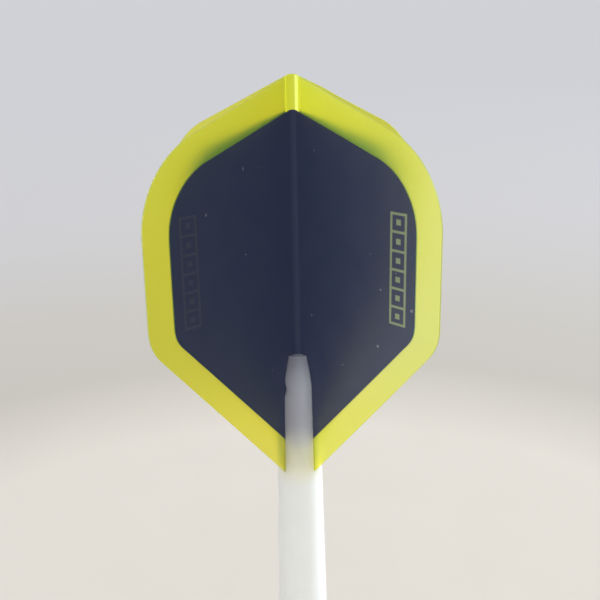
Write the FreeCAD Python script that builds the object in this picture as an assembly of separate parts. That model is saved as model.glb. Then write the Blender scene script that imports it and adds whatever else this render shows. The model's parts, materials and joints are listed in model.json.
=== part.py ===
"""Dart flight on its stem: a folded and bonded four-wing film flight in the cross slot of a moulded stem.

All sizes are in millimetres. The origin is the centre of the stem's shoulder, the face that seats on a
dart's barrel. +Z runs along the axis towards the flight's tail. The four wings stand on the diagonals
between X and Y, so each of the four valleys between two wings faces one axis: -Y front, +X right,
+Y back, -X left.
"""

import FreeCAD, Part
import math
import os

# Stem: one plastic moulding
STEM_LENGTH = 48.0  # shoulder to prong tips, the common medium length
SLOT_DEPTH = 13.95
SHOULDER_RADIUS = 3.2
SHOULDER_EDGE = 0.35  # rounding of the shoulder's outer edge
SLOT_FLOOR_RADIUS = 2.55  # outer radius of the stem where the slots end
PRONG_RADIUS = 2.36  # outer radius of the prongs where their rounded nose begins
NOSE_LENGTH = 3.6
NOSE_MIDDLE_RADIUS = 2.06  # outer radius of the prongs halfway up the nose
TIP_RADIUS = 1.58
TIP_EDGE = 0.12
TIP_LEAD_IN = 0.65  # depth, on the axis, of the shallow cone that leads a flight in between the tips

# Thread: 2BA, the standard steel-tip dart thread, drawn as rings at the thread's pitch
THREAD_RADIUS = 2.35
THREAD_PITCH = 0.81
THREAD_DEPTH = 0.42
THREAD_GROOVE_WIDTH = 0.56
THREAD_LENGTH = 6.5
THREAD_LAND = 0.55  # plain length next to the shoulder
THREAD_CHAMFER = 0.55

# Cross hole for the pin that tightens the stem into the barrel
PIN_HOLE_RADIUS = 0.65
PIN_HOLE_HEIGHT = 3.8

# Flight: four folded films bonded back to back, so each wing is two films thick
FILM = 0.075
FOLD_RADIUS = 0.70  # inside radius of each film's fold, on the valley side
FOLD_CENTRE = FOLD_RADIUS + FILM  # from each wing's middle plane to the centre of the fold
INK = 0.02

# Outlines of one wing, seen square on. Heights are from the flight's lower end. The straight top edge falls
# away from the crest on the axis. The lower end is cut square, tail_half wide each side of the axis.
FILM_OUTLINE = {
    "crest": 43.75,
    "top_slope": 20.8,  # degrees
    "shoulder_arc": 9.3,
    "width": 19.0,
    "lower_arc": 4.9,
    "lower_slope": 49.6,  # degrees
    "tail_half": 2.51,
    "tail_height": 0.0,
}
PRINT_OUTLINE = {
    "crest": 40.31,
    "top_slope": 19.6,
    "shoulder_arc": 7.15,
    "width": 16.1,
    "lower_arc": 3.1,
    "lower_slope": 48.5,
    "tail_half": FOLD_CENTRE,
    "tail_height": 2.28,
}

# Fits
SLOT_CLEARANCE = 0.06  # between a printed wing and each face of its slot
SEAT_GAP = 0.02  # between the flight's lower end and the slot floor

SLOT_FLOOR = STEM_LENGTH - SLOT_DEPTH
SLOT_HALF = FILM + INK + SLOT_CLEARANCE
FLIGHT_BASE = SLOT_FLOOR + SEAT_GAP
WING_WIDTH = FILM_OUTLINE["width"]

# Each valley is drawn with its two wings along +X and +Y, then turned about the axis by this many degrees
VALLEYS = {"front": -135.0, "right": -45.0, "back": 45.0, "left": 135.0}
PAST = 1.0  # how far a cutting shape runs past what it cuts


def point(x, y, z=0.0):
    return FreeCAD.Vector(x, y, z)


def chain(points):
    """Straight edges from each point to the next."""
    return [Part.makeLine(a, b) for a, b in zip(points, points[1:])]


def arc(start, middle, end):
    return Part.Arc(start, middle, end).toShape()


def turned(shape, degrees):
    shape.rotate(point(0, 0), point(0, 0, 1), degrees)
    return shape


def thread_profile():
    """Points from the axis at the thread's foot up its outside to the shoulder plane."""
    foot = -THREAD_LENGTH
    profile = [point(0, 0, foot), point(THREAD_RADIUS - THREAD_CHAMFER, 0, foot)]
    profile.append(point(THREAD_RADIUS, 0, foot + THREAD_CHAMFER))
    rings = int((THREAD_LENGTH - THREAD_LAND - THREAD_CHAMFER) / THREAD_PITCH)
    for ring in reversed(range(rings)):
        middle = -THREAD_LAND - THREAD_PITCH * (ring + 0.5)
        profile.append(point(THREAD_RADIUS, 0, middle - THREAD_GROOVE_WIDTH / 2))
        profile.append(point(THREAD_RADIUS - THREAD_DEPTH, 0, middle))
        profile.append(point(THREAD_RADIUS, 0, middle + THREAD_GROOVE_WIDTH / 2))
    profile.append(point(THREAD_RADIUS, 0, 0))
    return profile


def stem_blank():
    """The stem before its slots are cut: thread, shoulder, tapered body, rounded nose and lead-in."""
    edge_inset = SHOULDER_EDGE * (1 - math.sqrt(0.5))
    edge_start = point(SHOULDER_RADIUS - SHOULDER_EDGE, 0, 0)
    edge_middle = point(SHOULDER_RADIUS - edge_inset, 0, edge_inset)
    edge_end = point(SHOULDER_RADIUS, 0, SHOULDER_EDGE)
    slot_floor = point(SLOT_FLOOR_RADIUS, 0, SLOT_FLOOR)
    nose_start = point(PRONG_RADIUS, 0, STEM_LENGTH - NOSE_LENGTH)
    nose_middle = point(NOSE_MIDDLE_RADIUS, 0, STEM_LENGTH - NOSE_LENGTH / 2)
    nose_end = point(TIP_RADIUS, 0, STEM_LENGTH - TIP_EDGE)
    tip_edge = point(TIP_RADIUS - TIP_EDGE, 0, STEM_LENGTH)
    tip_centre = point(0, 0, STEM_LENGTH - TIP_LEAD_IN)
    foot_centre = point(0, 0, -THREAD_LENGTH)

    edges = chain(thread_profile() + [edge_start])
    edges.append(arc(edge_start, edge_middle, edge_end))
    edges += chain([edge_end, slot_floor, nose_start])
    edges.append(arc(nose_start, nose_middle, nose_end))
    edges += chain([nose_end, tip_edge, tip_centre, foot_centre])
    profile = Part.Face(Part.Wire(edges))
    return profile.revolve(point(0, 0), point(0, 0, 1), 360)


def prong_prism(turn):
    """The space one prong may fill: a quadrant between two slots, its inner corner rounded for the fold."""
    far = SHOULDER_RADIUS + PAST
    corner = FOLD_CENTRE - (FOLD_CENTRE - SLOT_HALF) * math.sqrt(0.5)
    along_x = point(FOLD_CENTRE, SLOT_HALF)
    along_y = point(SLOT_HALF, FOLD_CENTRE)
    edges = [arc(along_x, point(corner, corner), along_y)]
    edges += chain([along_y, point(SLOT_HALF, far), point(far, far), point(far, SLOT_HALF), along_x])
    prism = Part.Face(Part.Wire(edges)).extrude(point(0, 0, SLOT_DEPTH + PAST))
    prism.translate(point(0, 0, SLOT_FLOOR))
    return turned(prism, turn)


def make_stem():
    """One moulding: threaded end, shoulder, tapered body and four prongs round a cross slot."""
    slots = Part.makeCylinder(SHOULDER_RADIUS + PAST / 2, SLOT_DEPTH + PAST / 2, point(0, 0, SLOT_FLOOR))
    for turn in VALLEYS.values():
        slots = slots.cut(prong_prism(turn))
    hole_reach = SHOULDER_RADIUS + PAST
    hole_start = point(-hole_reach, 0, PIN_HOLE_HEIGHT)
    pin_hole = Part.makeCylinder(PIN_HOLE_RADIUS, 2 * hole_reach, hole_start, point(1, 0, 0))
    return stem_blank().cut(slots).cut(pin_hole)


def corner_arc(x, z, radius, start, end):
    """The start, middle and end of a round corner in the wing's plane. Angles are in degrees from +X."""
    ends = []
    for degrees in (start, (start + end) / 2, end):
        angle = math.radians(degrees)
        ends.append(point(x + radius * math.cos(angle), -PAST, z + radius * math.sin(angle)))
    return ends


def wing_block(crest, top_slope, shoulder_arc, width, lower_arc, lower_slope, tail_half, tail_height):
    """A block whose outline, seen along Y, is one wing that stands out along +X. It runs on past the axis."""
    top = math.radians(top_slope)
    low = math.radians(lower_slope)
    fold_top = crest - FOLD_CENTRE * math.tan(top)
    shoulder_x = width - shoulder_arc
    shoulder_z = crest - shoulder_x * math.tan(top) - shoulder_arc / math.cos(top)
    lower_x = width - lower_arc
    lower_z = tail_height + (lower_x - tail_half) * math.tan(low) + lower_arc / math.cos(low)
    shoulder = corner_arc(shoulder_x, shoulder_z, shoulder_arc, 90 - top_slope, 0)
    lower = corner_arc(lower_x, lower_z, lower_arc, 0, lower_slope - 90)

    edges = chain([point(-PAST, -PAST, fold_top), point(FOLD_CENTRE, -PAST, fold_top), shoulder[0]])
    edges.append(arc(*shoulder))
    edges += chain([shoulder[2], lower[0]])
    edges.append(arc(*lower))
    edges += chain([lower[2], point(tail_half, -PAST, tail_height), point(-PAST, -PAST, tail_height)])
    edges += chain([point(-PAST, -PAST, tail_height), point(-PAST, -PAST, fold_top)])
    block = Part.Face(Part.Wire(edges)).extrude(point(0, WING_WIDTH + 2 * PAST, 0))
    block.translate(point(0, 0, FLIGHT_BASE))
    return block


def folded_sheet(outer, inner):
    """A tall sheet folded square, its two faces this far from the middle planes of its two wings."""
    far = WING_WIDTH + PAST

    def fold(offset):
        corner = FOLD_CENTRE - (FOLD_CENTRE - offset) * math.sqrt(0.5)
        return arc(point(FOLD_CENTRE, offset), point(corner, corner), point(offset, FOLD_CENTRE))

    edges = [fold(outer)]
    edges += chain([point(outer, FOLD_CENTRE), point(outer, far), point(inner, far)])
    edges += chain([point(inner, far), point(inner, FOLD_CENTRE)])
    edges.append(fold(inner))
    edges += chain([point(FOLD_CENTRE, inner), point(far, inner), point(far, outer)])
    edges += chain([point(far, outer), point(FOLD_CENTRE, outer)])
    profile = Part.Face(Part.Wire(edges))
    sheet = profile.extrude(point(0, 0, FILM_OUTLINE["crest"] + 2 * PAST))
    sheet.translate(point(0, 0, FLIGHT_BASE - PAST))
    return sheet


def folded_wings(outer, inner, outline, turn):
    """A folded sheet with both of its wings trimmed to the outline, in its own valley."""
    block = wing_block(**outline)
    mirrored = block.mirror(point(0, 0), point(1, -1, 0))
    wings = folded_sheet(outer, inner).common(block).common(mirrored)
    return turned(wings, turn)


def save(shape, name):
    shape.Solids[0].exportStep(os.path.join("parts", name + ".step"))
    print(name, len(shape.Solids), "solid, valid:", shape.isValid(), "volume mm3:", round(shape.Volume, 2))


os.makedirs("parts", exist_ok=True)
save(make_stem(), "stem")
for valley, turn in VALLEYS.items():
    save(folded_wings(0.0, FILM, FILM_OUTLINE, turn), "film_" + valley)
    save(folded_wings(FILM, FILM + INK, PRINT_OUTLINE, turn), "print_" + valley)
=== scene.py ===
"""The looks of a dart flight on its stem: four folded and printed films, bonded back to back, in white nylon.

Lengths are in metres in the CAD model's frame. +Z runs up the axis to the flight's tail, and the front valley
between two wings faces -Y. Angles of azimuth are in degrees, turning from +X towards +Y.
"""

import json
import math
import bpy
import bmesh
from mathutils import Matrix, Vector
from mathutils.geometry import convex_hull_2d


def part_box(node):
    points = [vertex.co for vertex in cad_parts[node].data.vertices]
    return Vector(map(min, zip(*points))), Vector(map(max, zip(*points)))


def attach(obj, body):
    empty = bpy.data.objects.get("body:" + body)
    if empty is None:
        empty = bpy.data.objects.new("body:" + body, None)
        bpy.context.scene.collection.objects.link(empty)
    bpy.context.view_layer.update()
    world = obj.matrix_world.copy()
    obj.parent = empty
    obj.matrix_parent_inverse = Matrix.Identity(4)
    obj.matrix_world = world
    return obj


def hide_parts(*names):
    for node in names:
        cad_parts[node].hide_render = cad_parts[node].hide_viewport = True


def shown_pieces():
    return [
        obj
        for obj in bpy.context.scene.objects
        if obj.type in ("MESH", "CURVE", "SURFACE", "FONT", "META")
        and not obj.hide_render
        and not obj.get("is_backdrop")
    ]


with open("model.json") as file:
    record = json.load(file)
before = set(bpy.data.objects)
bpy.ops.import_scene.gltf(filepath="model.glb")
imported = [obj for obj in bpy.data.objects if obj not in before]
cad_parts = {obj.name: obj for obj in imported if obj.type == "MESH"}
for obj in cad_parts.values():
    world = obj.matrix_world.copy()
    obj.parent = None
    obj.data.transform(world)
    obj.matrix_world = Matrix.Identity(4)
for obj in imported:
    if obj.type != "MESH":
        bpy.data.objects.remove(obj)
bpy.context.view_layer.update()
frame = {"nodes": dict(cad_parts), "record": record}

MM = 0.001
record = frame["record"]
mounts = {mount["name"]: mount for mount in record["mounts"]}
stem_low, stem_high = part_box("stem")
film_low, film_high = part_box("film_front")

# Valleys, by azimuth. A valley's right wing is 45 degrees on from it, and its left wing 45 degrees back.
VALLEYS = {"front": -90, "right": 0, "back": 90, "left": 180}
WING_TURN = 45

# Film and ink thicknesses, as in the CAD model
FILM = 0.075 * MM
FOLD_CENTRE = 0.775 * MM  # from a wing's middle plane to the centre of its fold
INK = 0.020 * MM
INK_GAP = 0.002 * MM  # keeps the ink's back clear of the film's face
MARK = 0.004 * MM
SHEET_UV = 50 * MM  # the length along a folded sheet that fills its texture square
FLIGHT_BASE = film_low.z
FLIGHT_LENGTH = film_high.z - film_low.z

# Stem: what the frame gives, then the rest as in the CAD model, with finer edges
THREAD_RADIUS = mounts["barrel_thread"]["dims"]["r_mm"] * MM
THREAD_FOOT = stem_low.z
PIN_HOLE_RADIUS = mounts["tool_hole"]["dims"]["r_mm"] * MM
PIN_HOLE_HEIGHT = mounts["tool_hole"]["pos_m"][2]
SHOULDER_RADIUS = stem_high.x
STEM_TOP = stem_high.z
SEAT_GAP = 0.02 * MM  # between the flight's lower end and the slot floor
SLOT_FLOOR = FLIGHT_BASE - SEAT_GAP
SLOT_HALF = 0.155 * MM  # half a slot's width
SLOT_FLOOR_RADIUS = 2.55 * MM  # outer radius of the stem where the slots end
PRONG_RADIUS = 2.36 * MM  # where the rounded nose begins
NOSE_LENGTH = 3.6 * MM
NOSE_MIDDLE_RADIUS = 2.06 * MM  # halfway up the nose
TIP_RADIUS = 1.58 * MM
TIP_EDGE = 0.12 * MM
SHOULDER_EDGE = 0.35 * MM  # rounding of the shoulder's outer edge
TIP_LEAD_IN = 0.65 * MM  # depth on the axis of the cone that leads a flight in between the tips
PRONG_EDGE = 0.13 * MM  # rounding of the prongs' outer corners
THREAD_PITCH = 0.81 * MM
THREAD_DEPTH = 0.42 * MM
THREAD_CHAMFER = 0.55 * MM
NECK_RADIUS = 0.97 * THREAD_RADIUS  # where the threaded end meets the shoulder


# ---------------------------------------------------------------- small helpers

def direction(azimuth):
    angle = math.radians(azimuth)
    return Vector((math.cos(angle), math.sin(angle), 0.0))


def smooth_step(low, high, value):
    share = min(1.0, max(0.0, (value - low) / (high - low)))
    return share * share * (3 - 2 * share)


def finish_mesh(name, bm, materials, sharp_degrees=35):
    """An object from a bmesh, with smooth faces and sharp edges where faces meet at a steep angle."""
    bmesh.ops.remove_doubles(bm, verts=bm.verts, dist=1e-7)
    bmesh.ops.recalc_face_normals(bm, faces=bm.faces)
    mesh = bpy.data.meshes.new(name)
    for face in bm.faces:
        face.smooth = True
    bm.to_mesh(mesh)
    bm.free()
    mesh.set_sharp_from_angle(angle=math.radians(sharp_degrees))
    piece = bpy.data.objects.new(name, mesh)
    bpy.context.scene.collection.objects.link(piece)
    for material in materials:
        mesh.materials.append(material)
    return piece


# ---------------------------------------------------------------- flight geometry

# For each wing, by azimuth. "bow" is how far its outer edge bows towards a higher azimuth at mid height, and
# "slant" is how much more it bows for each flight length up, in mm. "lean" is how many degrees its free part
# leans the same way, and "droop" is how far its outer edge hangs, in mm.
WING_SHAPES = {
    225: {"bow": -0.34, "slant": 1.06, "lean": 0.0, "droop": 0.0},
    315: {"bow": -0.21, "slant": -1.00, "lean": 0.0, "droop": 0.0},
    45: {"bow": -1.10, "slant": 0.0, "lean": -2.0, "droop": 0.95},
    135: {"bow": 0.50, "slant": 0.0, "lean": 6.5, "droop": 0.75},
}
WING_WIDTH = 19 * MM
BOW_START = 3.5 * MM  # reach at which a wing is free of the stem
BOW_EASE = 3 * MM  # over which its lean and droop begin, so that it has no kink
RIPPLE = 0.05  # a slow wave along each wing's height, in mm at its outer edge
RIPPLE_ANGLE = 9  # radians that this wave runs through over the flight's length


def wing_warp(wing, reach, height):
    """How far a wing stands out of its plane, towards a higher azimuth. Nothing moves near the stem."""
    shape = WING_SHAPES[wing]
    free = max(0.0, reach - BOW_START)
    share = height / FLIGHT_LENGTH
    ripple = RIPPLE * math.sin(RIPPLE_ANGLE * share + wing)
    bow = (shape["bow"] + shape["slant"] * (share - 0.5) + ripple) * MM
    lean = free * math.tan(math.radians(shape["lean"])) * smooth_step(0.0, BOW_EASE, free)
    return (free / (WING_WIDTH - BOW_START)) ** 2 * bow + lean


def wing_droop(wing, reach):
    """How far a wing hangs below its square position."""
    free = max(0.0, reach - BOW_START)
    full = WING_SHAPES[wing]["droop"] * MM
    return full * free / (WING_WIDTH - BOW_START) * smooth_step(0.0, BOW_EASE, free)


def sheet_point(valley, path, height, lift):
    """A point on a valley's folded film. path runs from the fold's middle, positive along the right wing.
    height is above the flight's base, and lift is from the wing's middle plane towards the valley."""
    side = 1 if path > 0 else -1
    middle = direction(valley)
    drop = 0.0
    if abs(path) < FOLD_CENTRE:
        turn = math.radians(WING_TURN) * path / FOLD_CENTRE
        away = direction(valley + 90) * math.sin(turn) - middle * math.cos(turn)
        spot = middle * FOLD_CENTRE * math.sqrt(2) + away * (FOLD_CENTRE - lift)
    else:
        wing = valley + WING_TURN * side
        bow = wing_warp(wing % 360, abs(path), height)
        drop = wing_droop(wing % 360, abs(path))
        spot = direction(wing) * abs(path) + direction(wing - 90 * side) * lift + direction(wing + 90) * bow
    return Vector((spot.x, spot.y, FLIGHT_BASE + height - drop))


def wing_polygon(node):
    """The outline of the front valley's right wing, as (reach, height) corners read off a CAD node."""
    along = direction(VALLEYS["front"] + WING_TURN)
    spots = [(v.co.dot(along), v.co.z - FLIGHT_BASE) for v in frame["nodes"][node].data.vertices]
    return [spots[i] for i in convex_hull_2d(spots)]


TINY = 1e-9  # a length too small to matter


def height_span(polygon, reach):
    """The lowest and highest points of a convex outline at one reach."""
    heights = []
    for (r0, z0), (r1, z1) in zip(polygon, polygon[1:] + polygon[:1]):
        low = min(r0, r1)
        high = max(r0, r1)
        if high - low < TINY:
            if abs(reach - low) < 10 * TINY:
                heights += [z0, z1]
        elif low - TINY <= reach <= high + TINY:
            heights.append(z0 + (z1 - z0) * (reach - r0) / (r1 - r0))
    return min(heights), max(heights)


def fold_rise(polygon, path):
    """How much higher the top edge stands over the fold, where its two slopes meet in a small arch."""
    if abs(path) >= FOLD_CENTRE:
        return 0.0
    near = height_span(polygon, FOLD_CENTRE)[1]
    far = height_span(polygon, 3 * FOLD_CENTRE)[1]
    slope = (near - far) / (2 * FOLD_CENTRE)
    return slope * (FOLD_CENTRE ** 2 - path ** 2) / (2 * FOLD_CENTRE)


COLUMN_SPACING = 0.6 * MM
CLOSEST_COLUMNS = 0.02 * MM
FOLD_STEPS = 10
SHEET_ROWS = 64


def sheet_columns(polygon):
    """(path, lowest, highest) of each column of a folded sheet's grid, from the left wing to the right."""
    edge = max(reach for reach, _ in polygon)
    reaches = {round(reach, 8) for reach, _ in polygon if reach > FOLD_CENTRE}
    steps = int((edge - FOLD_CENTRE) / COLUMN_SPACING)
    reaches |= {round(FOLD_CENTRE + (edge - FOLD_CENTRE) * i / steps, 8) for i in range(steps)}
    kept = []
    for reach in sorted(reaches):
        if not kept or reach - kept[-1] > CLOSEST_COLUMNS:
            kept.append(reach)
    kept[-1] = edge
    fold = [FOLD_CENTRE * (2 * i / FOLD_STEPS - 1) for i in range(1, FOLD_STEPS)]
    paths = [-reach for reach in reversed(kept)] + fold + kept
    columns = []
    for path in paths:
        low, high = height_span(polygon, max(abs(path), FOLD_CENTRE))
        columns.append((path, low, high + fold_rise(polygon, path)))
    return columns


def folded_sheet(name, valley, polygon, back, front, materials):
    """A closed thin sheet over both wings of a valley, between two lifts. It takes three materials: for its
    valley side, its back and its rim."""
    bm = bmesh.new()
    uv = bm.loops.layers.uv.new("sheet")
    columns = sheet_columns(polygon)
    grids = []
    for lift in (front, back):
        grid = []
        for path, low, high in columns:
            heights = [low + (high - low) * j / SHEET_ROWS for j in range(SHEET_ROWS + 1)]
            grid.append([(bm.verts.new(sheet_point(valley, path, h, lift)), (path, h)) for h in heights])
        grids.append(grid)

    def add(corners, index):
        face = bm.faces.new([vert for vert, spot in corners])
        face.material_index = index
        for loop, (vert, spot) in zip(face.loops, corners):
            loop[uv].uv = (0.5 + spot[0] / SHEET_UV, spot[1] / SHEET_UV)

    last = len(columns) - 1
    near, far = grids
    for i in range(last):
        for j in range(SHEET_ROWS):
            for index, g in enumerate(grids):
                add([g[i][j], g[i + 1][j], g[i + 1][j + 1], g[i][j + 1]], index)
        for j in (0, SHEET_ROWS):
            add([near[i][j], near[i + 1][j], far[i + 1][j], far[i][j]], 2)
    for i in (0, last):
        for j in range(SHEET_ROWS):
            add([near[i][j], near[i][j + 1], far[i][j + 1], far[i][j]], 2)
    return finish_mesh(name, bm, materials)


# ---------------------------------------------------------------- the printed mark: a plain generic pattern

MARK_CENTRE = 14.0 * MM  # reach of its middle line
MARK_LOW = 20.4 * MM
MARK_HIGH = 31.5 * MM
MARK_WIDTH = 2.0 * MM
MARK_STROKE = 0.25 * MM
MARK_HALF_DOT = 1.1 * MARK_STROKE
MARK_CELLS = 6
MARK_STEP = 0.5 * MM  # between the cross-cuts that let a plate follow its wing


def add_plate(bm, valley, side, reaches, heights, back, front):
    """A thin closed rectangular plate on one wing of a valley, in short steps that follow the wing."""
    low, high = heights
    steps = max(1, round((high - low) / MARK_STEP))
    spots = [(reach, low + (high - low) * j / steps) for j in range(steps + 1) for reach in reaches]
    skins = []
    for lift in (front, back):
        places = [sheet_point(valley, side * reach, height, lift) for reach, height in spots]
        skins.append([bm.verts.new(place) for place in places])
    near, far = skins
    for j in range(0, 2 * steps, 2):
        for skin in skins:
            bm.faces.new([skin[j], skin[j + 1], skin[j + 3], skin[j + 2]])
        for k in (j, j + 1):
            bm.faces.new([near[k], near[k + 2], far[k + 2], far[k]])
    for k in (0, 2 * steps):
        bm.faces.new([near[k], near[k + 1], far[k + 1], far[k]])


def mark_piece(name, valley, side, material):
    """A ladder of cells between two rails, with a square dot in each cell. It holds no letters."""
    bm = bmesh.new()
    back = FILM + INK + INK_GAP / 2
    front = back + MARK
    inner = MARK_CENTRE - MARK_WIDTH / 2
    outer = MARK_CENTRE + MARK_WIDTH / 2
    add_plate(bm, valley, side, (inner, inner + MARK_STROKE), (MARK_LOW, MARK_HIGH), back, front)
    add_plate(bm, valley, side, (outer - MARK_STROKE, outer), (MARK_LOW, MARK_HIGH), back, front)
    pitch = (MARK_HIGH - MARK_LOW) / MARK_CELLS
    for rung in range(MARK_CELLS + 1):
        middle = min(max(MARK_LOW + pitch * rung, MARK_LOW + MARK_STROKE / 2), MARK_HIGH - MARK_STROKE / 2)
        heights = (middle - MARK_STROKE / 2, middle + MARK_STROKE / 2)
        add_plate(bm, valley, side, (inner + MARK_STROKE, outer - MARK_STROKE), heights, back, front)
    dot_reaches = (MARK_CENTRE - MARK_HALF_DOT, MARK_CENTRE + MARK_HALF_DOT)
    for cell in range(MARK_CELLS):
        middle = MARK_LOW + pitch * (cell + 0.5)
        heights = (middle - MARK_HALF_DOT, middle + MARK_HALF_DOT)
        add_plate(bm, valley, side, dot_reaches, heights, back, front)
    return finish_mesh(name, bm, [material])


# ---------------------------------------------------------------- stem geometry

ARC_STEPS = 22  # along each prong's outside
MOUTH_STEPS = 4  # across each slot's mouth
INNER_STEPS = 8  # round each prong's inner corner
BODY_RINGS = 60
PRONG_RINGS = 34  # below the nose
NOSE_RINGS = 20
THREAD_ROWS = 150

NICK_PLACE = Vector((-1.55 * MM, -1.75 * MM, SLOT_FLOOR + 10.15 * MM))
NICK_DEPTH = 0.22 * MM
NICK_SIZE = 0.62 * MM


def body_radius(height):
    """Outer radius of the stem at a height, from the shoulder's edge to the tip."""
    top = STEM_TOP - NOSE_LENGTH
    if height < SLOT_FLOOR:
        share = (height - SHOULDER_EDGE) / (SLOT_FLOOR - SHOULDER_EDGE)
        return SHOULDER_RADIUS + (SLOT_FLOOR_RADIUS - SHOULDER_RADIUS) * share
    if height < top:
        share = (height - SLOT_FLOOR) / (top - SLOT_FLOOR)
        return SLOT_FLOOR_RADIUS + (PRONG_RADIUS - SLOT_FLOOR_RADIUS) * share
    share = (height - top) / NOSE_LENGTH
    drop = PRONG_RADIUS - TIP_RADIUS
    bend = 2 * drop - 4 * (PRONG_RADIUS - NOSE_MIDDLE_RADIUS)
    return PRONG_RADIUS - (drop - bend) * share - bend * share ** 2


def prong_section(valley, radius, inset=0.0):
    """One prong's cross-section, anticlockwise from the start of its outer arc. inset shrinks it evenly."""
    slot = SLOT_HALF + inset
    radius -= inset
    edge = PRONG_EDGE
    # the outer arc stops where a round corner of this radius leads into the slot's face
    corner_reach = math.sqrt((radius - edge) ** 2 - (slot + edge) ** 2)
    corner_turn = math.degrees(math.atan2(slot + edge, corner_reach))
    half_arc = WING_TURN - corner_turn
    points = []
    for k in range(ARC_STEPS + 1):
        points.append(direction(valley - half_arc + 2 * half_arc * k / ARC_STEPS) * radius)

    def corner(side, shares):
        """Round corner beside one slot. A share of 0 is on the outer arc, and of 1 on the slot's face."""
        wing = valley + WING_TURN * side
        centre = direction(wing) * corner_reach + direction(wing - 90 * side) * (slot + edge)
        start = valley + side * half_arc
        end = wing + 90 * side
        return [centre + direction(start + (end - start) * share) * edge for share in shares]

    points += corner(1, (0.33, 0.67, 1.0))
    # down the slot's face, round the inner corner that clears the film's fold, and out along the other slot
    fold_radius = FOLD_CENTRE - slot
    fold_middle = direction(valley) * FOLD_CENTRE * math.sqrt(2)
    for k in range(INNER_STEPS + 1):
        turn = math.radians(WING_TURN * (1 - 2 * k / INNER_STEPS))
        way = direction(valley + 90) * math.sin(turn) - direction(valley) * math.cos(turn)
        points.append(fold_middle + way * fold_radius)
    points += corner(-1, (1.0, 0.67, 0.33))
    return points


def ring_verts(bm, points, height):
    return [bm.verts.new((p.x, p.y, height)) for p in points]


def bridge(bm, lower, upper):
    """Faces between two closed rings with the same number of points."""
    for k in range(len(lower)):
        n = (k + 1) % len(lower)
        bm.faces.new([lower[k], lower[n], upper[n], upper[k]])


def full_section(radius):
    """A whole circle whose points line up with the prongs' outer arcs and the slots' mouths."""
    at_floor = prong_section(0, SLOT_FLOOR_RADIUS)
    half_arc = math.degrees(math.atan2(at_floor[ARC_STEPS].y, at_floor[ARC_STEPS].x))
    points = []
    for valley in VALLEYS.values():
        for k in range(ARC_STEPS + 1):
            points.append(direction(valley - half_arc + 2 * half_arc * k / ARC_STEPS) * radius)
        for k in range(1, MOUTH_STEPS):
            turn = half_arc + (90 - 2 * half_arc) * k / MOUTH_STEPS
            points.append(direction(valley + turn) * radius)
    return points


def add_body(bm):
    """The solid body from the shoulder to the slot floor. Returns the ring where the threaded end joins the
    shoulder, and the body's top ring."""
    rings = []
    edge_steps = 6
    for k in range(edge_steps + 1):
        angle = math.radians(90 * k / edge_steps)
        radius = SHOULDER_RADIUS - SHOULDER_EDGE * (1 - math.sin(angle))
        rings.append(ring_verts(bm, full_section(radius), SHOULDER_EDGE * (1 - math.cos(angle))))
    for k in range(1, BODY_RINGS + 1):
        height = SHOULDER_EDGE + (SLOT_FLOOR - SHOULDER_EDGE) * k / BODY_RINGS
        rings.append(ring_verts(bm, full_section(body_radius(height)), height))
    for lower, upper in zip(rings, rings[1:]):
        bridge(bm, lower, upper)
    neck = ring_verts(bm, full_section(NECK_RADIUS), 0.0)
    bridge(bm, neck, rings[0])
    return neck, rings[-1]


def nick(point, height):
    """Moves a point of the front prong inwards where its left edge carries a small dent."""
    gap = (Vector((point.x, point.y, height)) - NICK_PLACE).length
    depth = NICK_DEPTH * math.exp(-(gap / NICK_SIZE) ** 2)
    return point - direction(-135) * depth * 0.7 + Vector((depth * 0.5, 0, 0))


def lead_in(point, share=1.0):
    """How far below the tip's rim a share of the shallow cone between the four tips lies at a point."""
    rim = TIP_RADIUS - TIP_EDGE
    return share * TIP_LEAD_IN * max(0.0, 1 - point.length / rim)


def close_tip(bm, ring):
    """The end face of a prong, in rings that follow the cone down towards the axis."""
    middle = sum((v.co for v in ring), Vector()) / len(ring)
    previous = ring
    for share in (0.3, 0.6, 0.85):
        points = [v.co.lerp(middle, share) for v in ring]
        inner = [bm.verts.new((p.x, p.y, STEM_TOP - lead_in(p.xy.to_3d()))) for p in points]
        bridge(bm, previous, inner)
        previous = inner
    bm.faces.new(previous)


def add_prong(bm, valley, name):
    """One prong, open at its foot. Returns its lowest ring."""
    top = STEM_TOP - NOSE_LENGTH
    heights = [SLOT_FLOOR + (top - SLOT_FLOOR) * k / PRONG_RINGS for k in range(PRONG_RINGS + 1)]
    heights += [top + (NOSE_LENGTH - TIP_EDGE) * k / NOSE_RINGS for k in range(1, NOSE_RINGS + 1)]
    rings = []
    for height in heights:
        section = prong_section(valley, body_radius(height))
        if name == "front" and abs(height - NICK_PLACE.z) < 5 * NICK_SIZE:
            section = [nick(p, height) for p in section]
        rings.append(ring_verts(bm, section, height))
    for share in (0.3, 0.65, 1.0):
        inset = TIP_EDGE * (1 - math.sqrt(1 - share ** 2))
        height = heights[-1] + (STEM_TOP - heights[-1]) * share
        section = prong_section(valley, body_radius(heights[-1]), inset)
        rings.append([bm.verts.new((p.x, p.y, height - lead_in(p, share))) for p in section])
    for lower, upper in zip(rings, rings[1:]):
        bridge(bm, lower, upper)
    close_tip(bm, rings[-1])
    return rings[0]


def close_slot_floor(bm, body_top, prongs):
    """The cross-shaped floor of the slots, between the body's top ring and the prongs' feet."""
    arc = ARC_STEPS + 1
    stride = arc + MOUTH_STEPS - 1
    outline = []
    for index, prong in enumerate(prongs):
        for k in range(arc):
            body_top[index * stride + k].co = prong[k].co
        inner = prong[arc:]
        outline += [prong[0]] + list(reversed(inner)) + [prong[arc - 1]]
        outline += body_top[index * stride + arc:(index + 1) * stride]
    bm.faces.new(outline)


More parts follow.
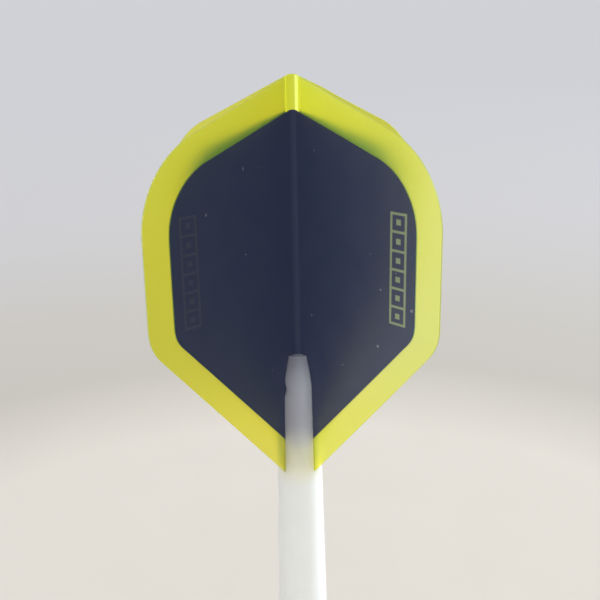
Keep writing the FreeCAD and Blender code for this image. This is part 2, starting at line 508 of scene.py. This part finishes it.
def thread_radius_at(turn, height):
    """Radius of the helical thread at a turn in degrees and a height, with a plain neck and a chamfer."""
    phase = (height / THREAD_PITCH - turn / 360) % 1.0
    wave = abs(2 * phase - 1)
    groove = smooth_step(0.16, 0.86, wave)
    fade = smooth_step(-0.15 * MM, -0.9 * MM, height)
    radius = THREAD_RADIUS - THREAD_DEPTH * groove * fade
    neck_relief = 0.10 * MM
    radius -= neck_relief * (1 - fade)
    lead = (height - THREAD_FOOT) / THREAD_CHAMFER
    if lead < 1:
        radius = min(radius, THREAD_RADIUS - THREAD_CHAMFER * (1 - lead) * 0.95)
    return radius


def add_thread(bm, neck):
    """The threaded end: a fine grid whose radius follows a right-handed helix, and a dished foot."""
    turns = [math.degrees(math.atan2(v.co.y, v.co.x)) for v in neck]
    previous = neck
    for row in range(1, THREAD_ROWS + 1):
        height = THREAD_FOOT * row / THREAD_ROWS
        points = [direction(turn) * thread_radius_at(turn, height) for turn in turns]
        ring = ring_verts(bm, points, height)
        bridge(bm, ring, previous)
        previous = ring
    dish_depth = 0.18 * MM
    dish = ring_verts(bm, [v.co.xy.to_3d() * 0.55 for v in previous], THREAD_FOOT + dish_depth)
    bridge(bm, dish, previous)
    bm.faces.new(dish)


def cut_pin_hole(stem):
    """Cuts the cross hole, with slightly flared mouths, out of the body."""
    bm = bmesh.new()
    skin = body_radius(PIN_HOLE_HEIGHT)
    flare = 0.15 * MM
    wide = 1.6 * MM  # how far the cutter runs out past the skin
    profile = [(skin + wide, 0.0), (skin + wide, PIN_HOLE_RADIUS + flare + wide)]
    profile += [(skin - 0.4 * flare, PIN_HOLE_RADIUS + flare), (skin - 1.6 * flare, PIN_HOLE_RADIUS)]
    profile += [(-x, r) for x, r in reversed(profile)]
    steps = 40
    rings = []
    for x, r in profile:
        ring = []
        for k in range(steps):
            angle = 2 * math.pi * k / steps
            ring.append(bm.verts.new((x, r * math.cos(angle), PIN_HOLE_HEIGHT + r * math.sin(angle))))
        rings.append(ring)
    for a, b in zip(rings, rings[1:]):
        bridge(bm, a, b)
    cutter = finish_mesh("pin_hole_cutter", bm, [])
    cut = stem.modifiers.new("pin_hole", "BOOLEAN")
    cut.operation = "DIFFERENCE"
    cut.solver = "EXACT"
    cut.object = cutter
    bpy.context.view_layer.update()
    evaluated = stem.evaluated_get(bpy.context.evaluated_depsgraph_get())
    carved = bpy.data.meshes.new_from_object(evaluated)
    stem.modifiers.clear()
    stem.data = carved
    carved.set_sharp_from_angle(angle=math.radians(35))
    bpy.data.objects.remove(cutter)


PRONG_FACE_MARGIN = 0.001 * MM  # keeps the slot floor's own faces out of the prongs'


def make_stem(solid, thin):
    """The whole moulding, with the solid material on its body and the thin one on its prongs."""
    bm = bmesh.new()
    neck, body_top = add_body(bm)
    prongs = [add_prong(bm, azimuth, name) for name, azimuth in VALLEYS.items()]
    close_slot_floor(bm, body_top, prongs)
    add_thread(bm, neck)
    stem = finish_mesh("moulded_stem", bm, [solid, thin])
    cut_pin_hole(stem)
    for face in stem.data.polygons:
        face.material_index = 1 if face.center.z > SLOT_FLOOR + PRONG_FACE_MARGIN else 0
    return stem


# ---------------------------------------------------------------- materials

class Nodes:
    """A small helper for building a material's or world's node tree."""

    def __init__(self, owner):
        owner.use_nodes = True
        self.tree = owner.node_tree
        self.tree.nodes.clear()

    def add(self, kind, inputs=None, **settings):
        node = self.tree.nodes.new(kind)
        for key, value in settings.items():
            setattr(node, key, value)
        for key, value in (inputs or {}).items():
            self.set(node.inputs[key], value)
        return node

    def set(self, socket, value):
        if isinstance(value, bpy.types.NodeSocket):
            self.tree.links.new(value, socket)
        elif isinstance(value, tuple) and len(value) == 3 and socket.type == "RGBA":
            socket.default_value = (*value, 1.0)
        else:
            socket.default_value = value

    def math(self, operation, a, b):
        return self.add("ShaderNodeMath", {0: a, 1: b}, operation=operation).outputs[0]

    def seen(self):
        """1 for what the camera sees, directly or through a clear layer, and 0 for other light."""
        rays = self.add("ShaderNodeLightPath")
        return self.math("MAXIMUM", rays.outputs["Is Camera Ray"], rays.outputs["Is Transmission Ray"])

    def mix_shader(self, share, a, b):
        return self.add("ShaderNodeMixShader", {0: share, 1: a, 2: b}).outputs[0]

    def add_shaders(self, *shaders):
        total = shaders[0]
        for shader in shaders[1:]:
            total = self.add("ShaderNodeAddShader", {0: total, 1: shader}).outputs[0]
        return total

    def mix_colour(self, share, a, b):
        node = self.add("ShaderNodeMix", data_type="RGBA")
        self.set(node.inputs["Factor"], share)
        self.set(node.inputs["A"], a)
        self.set(node.inputs["B"], b)
        return node.outputs["Result"]

    def noise(self, vector, scale, detail):
        inputs = {"Vector": vector, "Scale": scale, "Detail": detail}
        return self.add("ShaderNodeTexNoise", inputs).outputs["Fac"]

    def remap(self, value, low, high, out_low=0.0, out_high=1.0):
        inputs = {"Value": value, "From Min": low, "From Max": high, "To Min": out_low, "To Max": out_high}
        return self.add("ShaderNodeMapRange", inputs).outputs["Result"]

    def bump(self, height, strength, distance):
        inputs = {"Height": height, "Strength": strength, "Distance": distance}
        return self.add("ShaderNodeBump", inputs).outputs["Normal"]

    def position(self):
        return self.add("ShaderNodeTexCoord").outputs["Object"]

    def crease(self, start, end, soft):
        """1 on a strip of a folded sheet between two paths from its fold's middle, fading to 0 over soft."""
        across = self.add("ShaderNodeUVMap", uv_map="sheet").outputs[0]
        u = self.add("ShaderNodeSeparateXYZ", {0: across}).outputs["X"]
        path = self.math("MULTIPLY", self.math("SUBTRACT", u, 0.5), SHEET_UV)
        rise = self.remap(path, start - soft, start)
        fall = self.remap(path, end, end + soft, 1.0, 0.0)
        return self.math("MULTIPLY", rise, fall)

    def output(self, shader, kind="ShaderNodeOutputMaterial"):
        self.add(kind, {"Surface": shader})


def new_material(name):
    material = bpy.data.materials.new(name)
    return material, Nodes(material)


FILM_THROUGH = (0.905, 0.797, 0.15)  # tint of light that passes one face of a wing
FILM_SCATTER = (0.014, 0.014, 0.002)
FILM_GLOW = (0.050, 0.152, 0.052)  # the greener light that the dye throws back
FOLD_PAINTED_GLOW = (0.60, 0.56, 0.010)  # painted glow: yellow light that the fold gives off itself
FOLD_PAINTED_HIGHLIGHT = (0.93, 0.95, 0.18)  # painted highlight: the brighter line along the fold's right side
FOLD_STRENGTH = 0.95  # the fold gives off this light itself, so it is as bright in the dark
WHITE = (1.0, 1.0, 1.0)


def film_face_material():
    """The glossy valley side of the film: hazy yellow see-through sheet whose dye throws back green light.
    Its fold is a light source: a painted yellow glow, with a painted highlight along its right side."""
    material, n = new_material("neon_film")
    place = n.position()
    fine = n.noise(place, 2600.0, 3.0)
    broad = n.noise(place, 160.0, 2.0)
    height = n.math("ADD", n.math("MULTIPLY", fine, 0.10), broad)
    normal = n.bump(height, 0.10, 0.00003)
    refraction = n.add("ShaderNodeBsdfRefraction", {"Color": FILM_THROUGH, "Roughness": 0.42, "IOR": 1.15})
    clear = n.add("ShaderNodeBsdfTransparent", {"Color": FILM_THROUGH})
    through = n.mix_shader(n.seen(), clear.outputs[0], refraction.outputs[0])
    scatter = n.add("ShaderNodeBsdfTranslucent", {"Color": FILM_SCATTER, "Normal": normal}).outputs[0]
    glow = n.add("ShaderNodeBsdfDiffuse", {"Color": FILM_GLOW, "Normal": normal}).outputs[0]
    body = n.add_shaders(through, scatter, glow)
    # painted glow and highlight: the fold gives off yellow light itself, stronger along its right side
    highlight_share = n.crease(0.46 * MM, 0.88 * MM, 0.12 * MM)
    dye = n.mix_colour(highlight_share, FOLD_PAINTED_GLOW, FOLD_PAINTED_HIGHLIGHT)
    folded = n.add("ShaderNodeEmission", {"Color": dye, "Strength": FOLD_STRENGTH}).outputs[0]
    fold = n.crease(-0.88 * MM, 0.90 * MM, 0.08 * MM)
    body = n.mix_shader(fold, body, n.add_shaders(folded, glow))
    gloss = n.add("ShaderNodeBsdfGlossy", {"Color": WHITE, "Roughness": 0.25, "Normal": normal})
    fresnel = n.add("ShaderNodeFresnel", {"IOR": 1.7, "Normal": normal}).outputs[0]
    outside = n.math("SUBTRACT", 1.0, n.add("ShaderNodeNewGeometry").outputs["Backfacing"])
    shine = n.math("MULTIPLY", n.math("MULTIPLY", fresnel, outside), n.remap(fold, 0.0, 1.0, 1.0, 0.3))
    n.output(n.mix_shader(shine, body, gloss.outputs[0]))
    return material


def film_bond_material():
    """The glued side of the film, where two films are one: light passes straight through."""
    material, n = new_material("film_bond")
    n.output(n.add("ShaderNodeBsdfTransparent", {"Color": WHITE}).outputs[0])
    return material


def film_rim_material():
    """The die-cut edge, which collects light from the whole sheet."""
    material, n = new_material("film_cut_edge")
    cut = n.noise(n.position(), 5200.0, 2.0)
    colour = n.mix_colour(cut, (0.74, 0.78, 0.12), (0.84, 0.88, 0.24))
    glow = n.add("ShaderNodeBsdfTranslucent", {"Color": colour}).outputs[0]
    skin = n.add("ShaderNodeBsdfPrincipled", {"Base Color": colour, "Roughness": 0.25}).outputs[0]
    n.output(n.mix_shader(0.5, skin, glow))
    return material


INK_PAINTED_GLOW = 0.028  # strength of a painted blue glow: the panel gives off a faint light itself, even where nothing lights it
INK_GLOW_COLOUR = (0.38, 0.50, 1.0)


def ink_material():
    """Blue-black printed ink: satin and faintly mottled, with scuffs and specks of dust, a painted highlight
    along its crease and a faint painted blue glow.
    """
    material, n = new_material("panel_ink")
    place = n.position()
    mottle = n.noise(place, 420.0, 4.0)
    grain = n.noise(place, 5200.0, 2.0)
    colour = n.mix_colour(mottle, (0.0180, 0.0225, 0.0470), (0.0250, 0.0295, 0.0570))
    dust = n.remap(n.noise(place, 1500.0, 0.0), 0.845, 0.87)
    colour = n.mix_colour(dust, colour, (0.16, 0.17, 0.18))
    # painted highlight: the ink is paler along the fold's crease
    crease = n.math("MULTIPLY", n.crease(-0.05 * MM, 0.25 * MM, 0.35 * MM), 0.12)
    colour = n.mix_colour(crease, colour, (0.045, 0.050, 0.080))
    stretched = n.add("ShaderNodeMapping", {"Vector": place, "Scale": (5200.0, 5200.0, 260.0)}).outputs[0]
    scuff = n.remap(n.noise(stretched, 1.0, 1.0), 0.66, 0.74)
    rough = n.math("ADD", n.remap(mottle, 0.3, 0.7, 0.30, 0.40), n.math("MULTIPLY", scuff, 0.12))
    normal = n.bump(n.math("ADD", grain, n.math("MULTIPLY", scuff, 0.5)), 0.12, 0.00002)
    folded = n.crease(-0.50 * MM, 0.50 * MM, 0.28 * MM)
    sheen = n.remap(folded, 0.0, 1.0, 0.30, 0.10)
    # painted glow: the ink gives off a faint blue light of its own
    inputs = {"Base Color": colour, "Roughness": rough, "Normal": normal, "Specular IOR Level": sheen,
              "Emission Color": INK_GLOW_COLOUR, "Emission Strength": INK_PAINTED_GLOW}
    n.output(n.add("ShaderNodeBsdfPrincipled", inputs).outputs[0])
    return material


def mark_material():
    """The pattern left clear of ink, where the film shows grey-green over the dark print behind it."""
    material, n = new_material("mark_grey_green")
    mottle = n.noise(n.position(), 1400.0, 3.0)
    colour = n.mix_colour(mottle, (0.190, 0.240, 0.125), (0.250, 0.300, 0.170))
    n.output(n.add("ShaderNodeBsdfPrincipled", {"Base Color": colour, "Roughness": 0.4}).outputs[0])
    return material


def ghost_material():
    """Ink over the next valley's mark, painted lighter and browner for light from behind, with the ink's
    painted glow.
    """
    material, n = new_material("ink_over_mark")
    mottle = n.noise(n.position(), 900.0, 3.0)
    colour = n.mix_colour(mottle, (0.029, 0.031, 0.045), (0.038, 0.040, 0.052))
    inputs = {"Base Color": colour, "Roughness": 0.36,
              "Emission Color": INK_GLOW_COLOUR, "Emission Strength": INK_PAINTED_GLOW}
    n.output(n.add("ShaderNodeBsdfPrincipled", inputs).outputs[0])
    return material


THIN_CLEAR = 0.69  # the share of light that passes a prong's skin
TIP_CLEAR = 0.84  # the same at its tip, where it is thinnest
FILM_LIGHT_PAINTED = 0.40  # share of painted light: the yellow that light from the film casts on the nylon at the slot floor, painted into its colour


def nylon_material(name, thin):
    """White moulded nylon with a faint grain and drag lines, which carries light. Where it is thin, in the
    prongs, what stands behind it shows through."""
    material, n = new_material(name)
    place = n.position()
    cloud = n.noise(place, 260.0, 3.0)
    grain = n.noise(place, 4200.0, 3.0)
    drawn = n.add("ShaderNodeMapping", {"Vector": place, "Scale": (3600.0, 3600.0, 120.0)}).outputs[0]
    lines = n.noise(drawn, 1.0, 2.0)
    colour = n.mix_colour(cloud, (0.83, 0.84, 0.82), (0.88, 0.885, 0.87))
    height_up = n.add("ShaderNodeSeparateXYZ", {0: place}).outputs["Z"]
    # painted light: the nylon near the slot floor is painted yellow, for light from the film
    near_film = n.remap(height_up, SLOT_FLOOR - 1.6 * MM, SLOT_FLOOR + 0.6 * MM)
    painted_film_light = n.math("MULTIPLY", near_film, FILM_LIGHT_PAINTED)
    colour = n.mix_colour(painted_film_light, colour, (0.84, 0.80, 0.42))
    if thin:
        # painted shade: the prongs are painted blue-grey higher up, for the shade and blue light between the
        # dark panels
        painted_blue_cast = n.remap(height_up, SLOT_FLOOR + 2.0 * MM, SLOT_FLOOR + 6.0 * MM)
        colour = n.mix_colour(painted_blue_cast, colour, (0.80, 0.80, 0.92))
    rough = n.remap(grain, 0.3, 0.7, 0.34, 0.46)
    height = n.math("ADD", n.math("MULTIPLY", grain, 0.6), n.math("MULTIPLY", lines, 0.5))
    normal = n.bump(height, 0.22, 0.00003)
    inputs = {"Base Color": colour, "Roughness": rough, "Normal": normal, "IOR": 1.5,
              "Subsurface Weight": 0.85, "Subsurface Radius": (1.0, 1.0, 0.95), "Subsurface Scale": 2.6 * MM}
    shader = n.add("ShaderNodeBsdfPrincipled", inputs).outputs[0]
    if thin:
        milky = n.add("ShaderNodeBsdfRefraction", {"Color": WHITE, "Roughness": 0.7, "IOR": 1.12})
        clear = n.add("ShaderNodeBsdfTransparent", {"Color": WHITE})
        through = n.mix_shader(n.seen(), clear.outputs[0], milky.outputs[0])
        share = n.remap(height_up, SLOT_FLOOR + 0.3 * MM, SLOT_FLOOR + 5.5 * MM, 0.0, THIN_CLEAR)
        more = n.remap(height_up, STEM_TOP - NOSE_LENGTH, STEM_TOP - 0.8 * MM, 0.0, TIP_CLEAR - THIN_CLEAR)
        share = n.math("ADD", share, more)
        shader = n.mix_shader(share, shader, through)
    n.output(shader)
    return material


ROOM_GREY = (0.631, 0.638, 0.672)
HAZE_START = 0.19  # distances from the axis over which the floor turns into the room's grey
HAZE_END = 1.4


def stage_material():
    """A pale matt floor with a painted pool of light, pale and yellowish round the object, greyer further
    off, and then the room's grey.
    """
    material, n = new_material("pale_sweep")
    place = n.position()
    flat = n.add("ShaderNodeVectorMath", {0: place, 1: (1.0, 1.0, 0.0)}, operation="MULTIPLY").outputs[0]
    far = n.add("ShaderNodeVectorMath", {0: flat}, operation="LENGTH").outputs["Value"]
    # painted pool of light: the floor is paler and yellower round the object
    painted_pool = n.mix_colour(n.noise(place, 60.0, 3.0), (0.755, 0.700, 0.625), (0.79, 0.735, 0.66))
    grey = n.mix_colour(n.remap(far, 0.11, 0.35), (0.590, 0.550, 0.490), (0.640, 0.610, 0.605))
    colour = n.mix_colour(n.remap(far, 0.090, 0.130), painted_pool, grey)
    matt = n.add("ShaderNodeBsdfDiffuse", {"Color": colour}).outputs[0]
    haze = n.add("ShaderNodeEmission", {"Color": ROOM_GREY, "Strength": 1.0}).outputs[0]
    # the share of haze follows one over the distance, so that it grows evenly up to the horizon
    share = n.remap(n.math("DIVIDE", 1.0, far), 1 / HAZE_START, 1 / HAZE_END)
    n.output(n.mix_shader(share, matt, haze))
    return material


# ---------------------------------------------------------------- build the flight

film_faces = [film_face_material(), film_bond_material(), film_rim_material()]
ink = ink_material()
mark_ink = mark_material()
ghost_ink = ghost_material()
film_outline = wing_polygon("film_front")
print_outline = wing_polygon("print_front")

for name, azimuth in VALLEYS.items():
    film = folded_sheet("sheet_" + name, azimuth, film_outline, 0.0, FILM, film_faces)
    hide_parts("film_" + name)
    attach(film, "flight")
    panel = folded_sheet("panel_" + name, azimuth, print_outline, FILM + INK_GAP, FILM + INK, [ink, ink, ink])
    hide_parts("print_" + name)
    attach(panel, "flight")
    for kind, side, material in (("mark_", 1, mark_ink), ("ghost_", -1, ghost_ink)):
        mark = mark_piece(kind + name, azimuth, side, material)
        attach(mark, "flight")

# ---------------------------------------------------------------- build the stem

stem = make_stem(nylon_material("white_nylon", thin=False), nylon_material("thin_white_nylon", thin=True))
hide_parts("stem")
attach(stem, "stem")

# ---------------------------------------------------------------- stage, light and camera

FLOOR = stem_low.z
FLOOR_REACH = 3.0
FLOOR_CENTRE = 0.01  # radius of the floor's middle face
FLOOR_RINGS = 60
FLOOR_SIDES = 96


def make_floor():
    """A wide round floor, which fades into the room's own colour before its horizon."""
    bm = bmesh.new()
    rings = []
    for k in range(1, FLOOR_RINGS + 1):
        reach = FLOOR_CENTRE * (FLOOR_REACH / FLOOR_CENTRE) ** (k / FLOOR_RINGS)
        rim = [direction(360 * j / FLOOR_SIDES) * reach for j in range(FLOOR_SIDES)]
        rings.append(ring_verts(bm, rim, FLOOR))
    bm.faces.new(rings[0])
    for a, b in zip(rings, rings[1:]):
        bridge(bm, a, b)
    floor = finish_mesh("floor", bm, [stage_material()], sharp_degrees=60)
    floor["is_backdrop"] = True


def make_world():
    """Soft light from all round: dimmer from the camera's side and from the right, and brighter from above.
    Seen directly, the room is one pale grey."""
    world = bpy.data.worlds.new("soft_room")
    bpy.context.scene.world = world
    n = Nodes(world)
    way = n.add("ShaderNodeTexCoord").outputs["Generated"]
    x, y, z = n.add("ShaderNodeSeparateXYZ", {0: way}).outputs
    back = n.remap(y, -0.6, 0.8, 0.43, 0.55)
    side = n.remap(x, -1.0, 1.0, 0.00, -0.10)
    up = n.remap(z, 0.25, 1.0, 0.0, 0.68)
    strength = n.math("ADD", n.math("ADD", back, side), up)
    light = n.add("ShaderNodeBackground", {"Color": (0.98, 0.985, 1.0), "Strength": strength}).outputs[0]
    seen = n.add("ShaderNodeBackground", {"Color": ROOM_GREY, "Strength": 1.0}).outputs[0]
    camera_ray = n.add("ShaderNodeLightPath").outputs["Is Camera Ray"]
    n.output(n.mix_shader(camera_ray, light, seen), "ShaderNodeOutputWorld")


LAMP_AIM = 40 * MM  # height above the floor of the spot on the axis that the lamps look at


def soft_box(name, azimuth, elevation, distance, width, tall, shine, colour):
    """A flat soft light that looks at the axis. shine is its brightness, on a scale where the room's grey is
    about 0.6."""
    lamp = bpy.data.lights.new(name, "AREA")
    lamp.shape = "RECTANGLE"
    lamp.size = width
    lamp.size_y = tall
    lamp.energy = shine * math.pi * width * tall
    lamp.color = colour
    light = bpy.data.objects.new(name, lamp)
    aim = Vector((0, 0, FLOOR + LAMP_AIM))
    rise = math.radians(elevation)
    way = direction(azimuth) * math.cos(rise) + Vector((0, 0, math.sin(rise)))
    light.location = aim + way * distance
    light.rotation_euler = way.to_track_quat("Z", "Y").to_euler()
    light.visible_camera = False
    bpy.context.scene.collection.objects.link(light)
    return light


def light_only(light, lit):
    """Keeps a close lamp's light on the pieces it is meant for."""
    group = bpy.data.collections.new(light.name + "_lights")
    for piece in lit:
        group.objects.link(piece)
    light.light_linking.receiver_collection = group


def make_dark_card():
    """A grey card on the right that only reflections see, so that the left wing's gloss stays dark."""
    bm = bmesh.new()
    reach = 95 * MM
    near = -120 * MM
    far = 90 * MM
    tall = 110 * MM
    corners = [(near, 0.0), (far, 0.0), (far, tall), (near, tall)]
    bm.faces.new([bm.verts.new((reach, y, FLOOR + z)) for y, z in corners])
    material, n = new_material("dark_card")
    shade = n.remap(n.noise(n.position(), 30.0, 2.0), 0.3, 0.7, 0.08, 0.12)
    n.output(n.add("ShaderNodeEmission", {"Color": (0.9, 0.95, 1.0), "Strength": shade}).outputs[0])
    card = finish_mesh("dark_card", bm, [material])
    card.visible_camera = False
    card.visible_diffuse = False
    card.visible_transmission = False
    card.visible_shadow = False
    card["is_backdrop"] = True


# The camera's place in front of the axis, and the way it looks
CAMERA_RIGHT = 0.685 * MM
CAMERA_BACK = 84.45 * MM
CAMERA_ABOVE = 33.5 * MM  # above the prongs' tips
CAMERA_YAW = -0.20
CAMERA_PITCH = -18.05
CAMERA_ROLL = -1.12
SENSOR = 36.0
LENS = 49.1
FOCUS_FRONT = 7 * MM  # how far in front of the axis the focus lies, between the front wings' edges and fold


def make_focus():
    """The spot that the camera focuses on, from wherever it looks."""
    focus = bpy.data.objects.new("focus", None)
    focus.location = (0.0, -FOCUS_FRONT, FLIGHT_BASE + 0.45 * FLIGHT_LENGTH)
    bpy.context.scene.collection.objects.link(focus)
    return focus


def make_camera():
    """A close camera that looks a little down into the front valley."""
    yaw, pitch, roll = (math.radians(angle) for angle in (CAMERA_YAW, CAMERA_PITCH, CAMERA_ROLL))
    ahead = Vector((math.sin(yaw) * math.cos(pitch), math.cos(yaw) * math.cos(pitch), math.sin(pitch)))
    level = Vector((math.cos(yaw), -math.sin(yaw), 0.0))
    above = level.cross(ahead)
    right = level * math.cos(roll) + above * math.sin(roll)
    up = above * math.cos(roll) - level * math.sin(roll)
    data = bpy.data.cameras.new("camera")
    data.sensor_width = SENSOR
    data.lens = LENS
    data.clip_start = 0.005
    data.dof.use_dof = True
    data.dof.focus_object = make_focus()
    data.dof.aperture_fstop = 45.0
    camera = bpy.data.objects.new("camera", data)
    place = Vector((CAMERA_RIGHT, -CAMERA_BACK, STEM_TOP + CAMERA_ABOVE))
    turn = Matrix((right, up, -ahead)).transposed().to_4x4()
    camera.matrix_world = Matrix.Translation(place) @ turn
    bpy.context.scene.collection.objects.link(camera)
    bpy.context.scene.camera = camera


def make_lamps():
    """A window on the right, a close box that veils the front valley, and a fill in front for the stem.
    The box lights only the front valley's pieces, and the fill only the stem."""
    soft_box("window", azimuth=26, elevation=13, distance=2.0, width=0.90, tall=0.90,
             shine=18.0, colour=(0.80, 0.91, 1.0))
    haze_box = soft_box("haze_box", azimuth=-165, elevation=4, distance=0.10, width=0.20, tall=0.096,
                        shine=1.7, colour=(0.88, 0.96, 1.0))
    light_only(haze_box, [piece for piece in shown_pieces() if piece.name.endswith("_front")])
    stem_fill = soft_box("stem_fill", azimuth=-85, elevation=25, distance=0.45, width=0.30, tall=0.30,
                         shine=1.8, colour=(1.0, 1.0, 0.97))
    light_only(stem_fill, [stem])


make_floor()
make_world()
make_lamps()
make_dark_card()
make_camera()
bpy.context.scene.view_settings.view_transform = "Standard"
